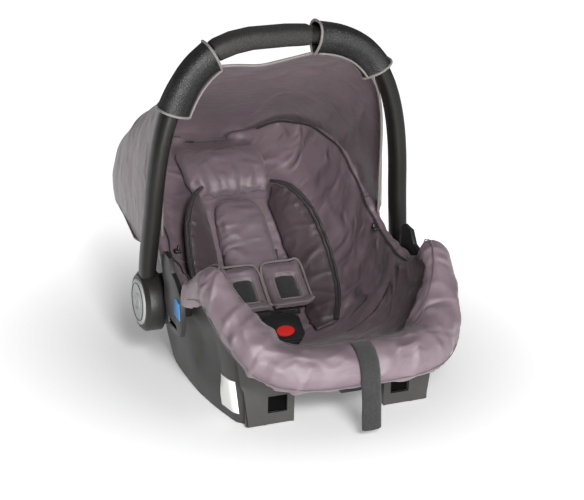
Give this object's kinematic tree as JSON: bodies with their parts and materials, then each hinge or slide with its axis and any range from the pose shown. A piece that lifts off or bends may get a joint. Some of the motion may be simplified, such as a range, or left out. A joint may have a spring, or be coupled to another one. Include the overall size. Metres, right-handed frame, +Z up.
{
  "type": "infant car seat",
  "caption": "Rearward infant carrier: moulded shell on runners, padded cover and insert, harness, folding carrying handle with release buttons, and a fabric sun canopy.",
  "frame": {"origin": "middle of the footprint, on the floor", "axes": "+X across the seat to the passenger's left, -Y towards the feet, +Y towards the head, +Z up"},
  "size_m": [0.459, 0.7101, 0.5438],
  "materials": {
    "shell_plastic": "fine moulded texture",
    "handle_plastic": "semi gloss",
    "grip_rubber": "soft touch",
    "hub_plastic": "fine moulded texture",
    "cap_plastic": "satin",
    "cover_fabric": "satin woven polyester",
    "insert_fabric": "satin woven polyester",
    "canopy_fabric": "satin woven polyester",
    "sleeve_leatherette": "grained",
    "webbing": "ribbed polyester webbing",
    "black_plastic": "fine moulded texture",
    "red_plastic": "gloss",
    "blue_plastic": "satin",
    "steel": "zinc plated",
    "label": "printed film, left plain"
  },
  "bodies": {
    "seat": {"seat_shell": "shell_plastic", "seat_cover": "cover_fabric", "front_roll": "cover_fabric", "insert_panel": "insert_fabric", "insert_wing_left": "insert_fabric", "insert_wing_right": "insert_fabric", "head_pad": "insert_fabric", "shoulder_pad_left": "insert_fabric", "shoulder_pad_right": "insert_fabric", "shoulder_strap_left": "webbing", "shoulder_strap_right": "webbing", "buckle_tongue_left": "black_plastic", "buckle_tongue_right": "black_plastic", "buckle_body": "black_plastic", "buckle_spring": "steel", "crotch_strap": "webbing", "crotch_anchor": "steel", "adjuster_strap": "webbing", "adjuster_body": "steel", "splitter_plate": "steel", "belt_guide_left": "black_plastic", "belt_guide_right": "black_plastic", "belt_marker_left": "blue_plastic", "belt_marker_right": "blue_plastic", "ratchet_left": "hub_plastic", "ratchet_right": "hub_plastic", "pivot_bolt_left": "steel", "pivot_bolt_right": "steel", "canopy_hook_left": "black_plastic", "canopy_hook_right": "black_plastic", "label_plate": "label", "canopy": "canopy_fabric"},
    "handle": {"handle_bar": "handle_plastic", "handle_grip": "grip_rubber", "hub_left": "hub_plastic", "hub_right": "hub_plastic", "canopy_sleeve_left": "sleeve_leatherette", "canopy_sleeve_right": "sleeve_leatherette", "button_spring_left": "steel", "button_spring_right": "steel"},
    "hub_button_left": {"hub_button_left": "cap_plastic"},
    "hub_button_right": {"hub_button_right": "cap_plastic"},
    "buckle_button": {"buckle_button": "red_plastic"},
    "adjuster_lever": {"adjuster_lever": "black_plastic"}
  },
  "joints": [
    {"name": "handle_pivot", "type": "hinge", "parent": "seat", "child": "handle", "pos_m": [0, 0, 0.12], "axis": [-1, 0, 0], "range_deg": [0, 98], "deforming": ["canopy"]},
    {"name": "hub_button_left_press", "type": "slide", "parent": "handle", "child": "hub_button_left", "axis": [1, 0, 0], "range_m": [0, 0.003], "stiffness_N_per_m": 900, "springref_m": -0.004, "deforming": ["button_spring_left"]},
    {"name": "hub_button_right_press", "type": "slide", "parent": "handle", "child": "hub_button_right", "axis": [-1, 0, 0], "range_m": [0, 0.003], "stiffness_N_per_m": 900, "springref_m": -0.004, "deforming": ["button_spring_right"]},
    {"name": "buckle_button_press", "type": "slide", "parent": "seat", "child": "buckle_button", "axis": [0, 0.6157, -0.788], "range_m": [0, 0.0028], "stiffness_N_per_m": 900, "springref_m": -0.004, "deforming": ["buckle_spring"]},
    {"name": "adjuster_lever_press", "type": "hinge", "parent": "seat", "child": "adjuster_lever", "pos_m": [0, -0.29, 0.066], "axis": [1, 0, 0], "range_deg": [0, 12], "stiffness_Nm_per_rad": 0.3, "springref_deg": -11.46}
  ]
}
